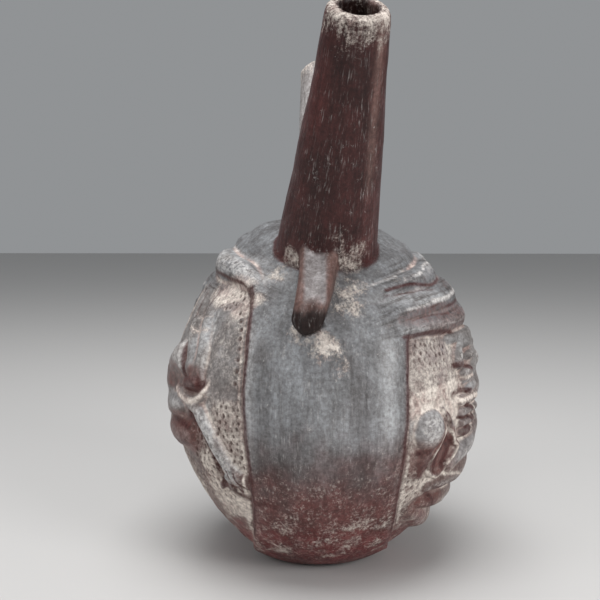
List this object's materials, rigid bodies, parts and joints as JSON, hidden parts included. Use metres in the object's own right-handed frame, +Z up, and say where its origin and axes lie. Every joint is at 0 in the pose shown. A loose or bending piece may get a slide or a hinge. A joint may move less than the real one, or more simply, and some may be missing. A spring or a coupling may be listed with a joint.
{
  "type": "double spout bottle",
  "caption": "Hollow fired-clay bottle with two leaning spouts joined by a strap, and moulded relief on both faces of its round body.",
  "frame": {"origin": "on the flat base, below the middle of the body", "axes": "+Z up; the spouts lean along -Y and +Y; the two moulded faces look along +X and -X"},
  "size_m": [0.1416, 0.2028, 0.2334],
  "materials": {
    "fired_clay": "burnished grey-brown fired clay, pale earth in the hollows of the relief"
  },
  "bodies": {
    "root": {"bottle": "fired_clay"}
  },
  "joints": []
}
